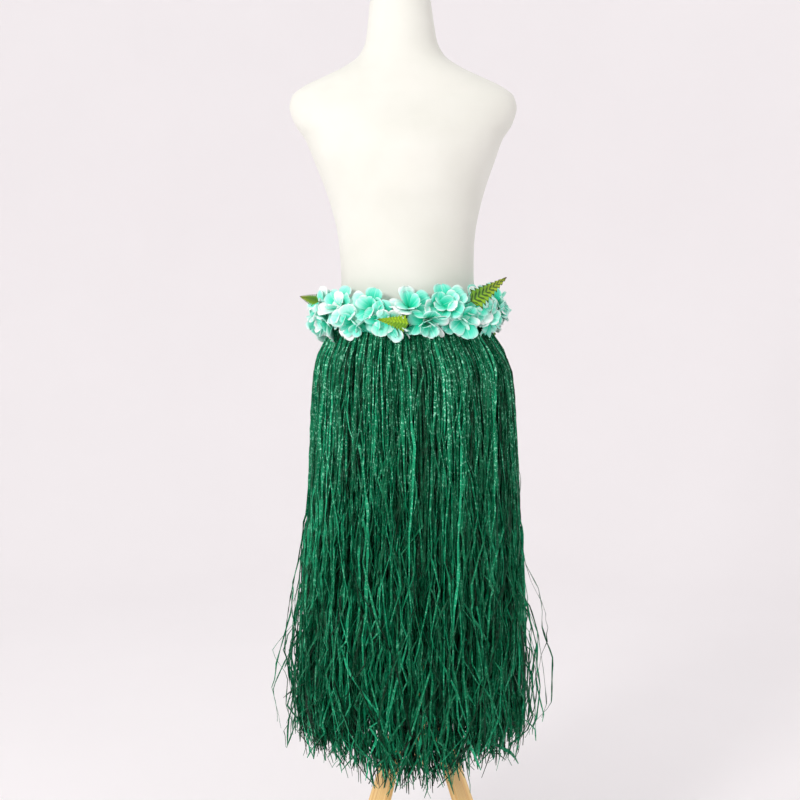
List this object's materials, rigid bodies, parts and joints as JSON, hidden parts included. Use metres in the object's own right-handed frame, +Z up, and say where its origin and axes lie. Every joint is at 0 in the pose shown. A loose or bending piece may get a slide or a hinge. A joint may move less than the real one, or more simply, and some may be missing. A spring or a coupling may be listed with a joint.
{
  "type": "hula skirt on a dress form",
  "caption": "Raffia hula skirt on a narrow waistband with a silk flower garland belt, standing on a limbless dress form with a splayed wooden stand.",
  "frame": {"origin": "centre of the bounding box's underside, on the floor the stand's feet rest on", "axes": "+Z up, +X to the right as seen from the front, -Y out of the front of the form"},
  "size_m": [0.5119, 0.4165, 1.7153],
  "materials": {
    "form_cloth": "smooth close-knit ivory jersey over a firm shell, matt",
    "wood": "light pine with a thin satin varnish",
    "band_cloth": "ribbed green elastic webbing",
    "raffia_under": "crinkled dark green film raffia",
    "raffia_outer": "crinkled glossy emerald film raffia",
    "cord": "thin green cord",
    "petals": "silk petals, pale mint at the tips and teal at the heart",
    "leaves": "pressed yellow-green cloth leaves with ribs"
  },
  "bodies": {
    "root": {"form_torso": "form_cloth", "form_neck_cap": "wood", "stand_post": "wood", "stand_leg_1": "wood", "stand_leg_2": "wood", "stand_leg_3": "wood", "stand_leg_4": "wood", "waistband": "band_cloth", "raffia_under": "raffia_under", "raffia_outer": "raffia_outer", "garland_core": "cord", "flower_upper_01": "petals", "flower_upper_02": "petals", "flower_upper_03": "petals", "flower_upper_04": "petals", "flower_upper_05": "petals", "flower_upper_06": "petals", "flower_upper_07": "petals", "flower_upper_08": "petals", "flower_upper_09": "petals", "flower_upper_10": "petals", "flower_upper_11": "petals", "flower_upper_12": "petals", "flower_upper_13": "petals", "flower_lower_01": "petals", "flower_lower_02": "petals", "flower_lower_03": "petals", "flower_lower_04": "petals", "flower_lower_05": "petals", "flower_lower_06": "petals", "flower_lower_07": "petals", "flower_lower_08": "petals", "flower_lower_09": "petals", "flower_lower_10": "petals", "flower_lower_11": "petals", "flower_lower_12": "petals", "flower_lower_13": "petals", "leaf_1": "leaves", "leaf_2": "leaves", "leaf_3": "leaves", "leaf_4": "leaves", "leaf_5": "leaves", "leaf_6": "leaves", "leaf_7": "leaves", "leaf_8": "leaves"}
  },
  "joints": []
}
